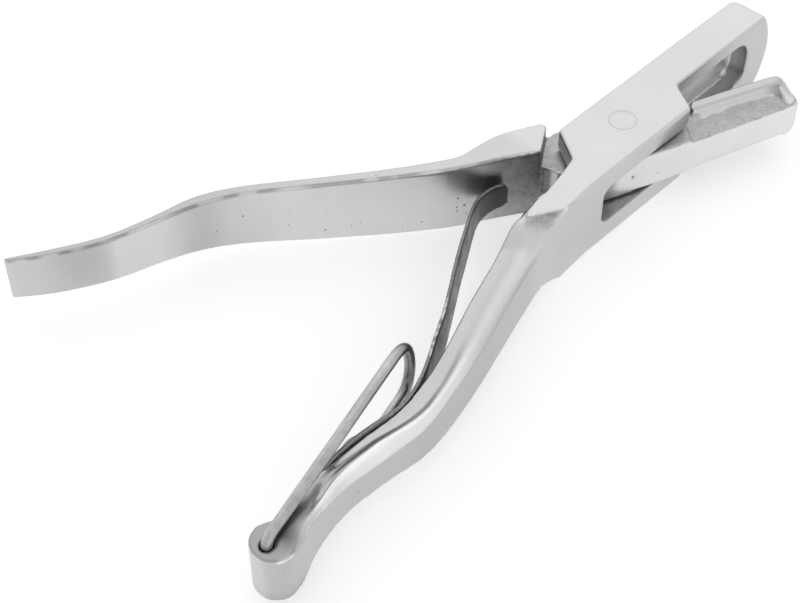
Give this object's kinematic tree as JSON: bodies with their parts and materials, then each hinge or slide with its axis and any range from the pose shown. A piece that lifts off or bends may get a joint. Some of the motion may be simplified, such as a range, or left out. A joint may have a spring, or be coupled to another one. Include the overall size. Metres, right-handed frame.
{
  "type": "ear tag applicator",
  "caption": "Box-jointed steel pliers for clamping ear tags, with a pocketed jaw, a swinging padded jaw, a leaf spring and a wire locking bail",
  "frame": {"origin": "on the pivot's axis, at the underside of the box", "axes": "+X points along the pocketed jaw towards its tip, +Y points towards the sprung inner handle, +Z is the pivot's axis, up from the side that the tool lies on"},
  "size_m": [0.2483, 0.1291, 0.0284],
  "materials": {
    "polished_cast_steel": "tumbled and plated cast steel, satin",
    "bright_wire": "bright plated wire",
    "dark_spring_steel": "dark heat-treated spring steel, slightly glossy"
  },
  "bodies": {
    "box": {"box_lever": "polished_cast_steel", "pivot_pin": "polished_cast_steel", "leaf_spring": "dark_spring_steel", "spring_rivet": "bright_wire"},
    "inner": {"inner_lever": "polished_cast_steel"},
    "bail": {"locking_bail": "bright_wire"}
  },
  "joints": [
    {"name": "lever_hinge", "type": "hinge", "parent": "box", "child": "inner", "pos_m": [0, 0, 0.0142], "axis": [0, 0, 1], "range_deg": [-3, 21], "stiffness_Nm_per_rad": 4, "deforming": ["leaf_spring"]},
    {"name": "bail_hinge", "type": "hinge", "parent": "box", "child": "bail", "pos_m": [-0.1715, -0.0307, 0.0142], "axis": [0, 0, 1], "range_deg": [-3, 100]}
  ]
}
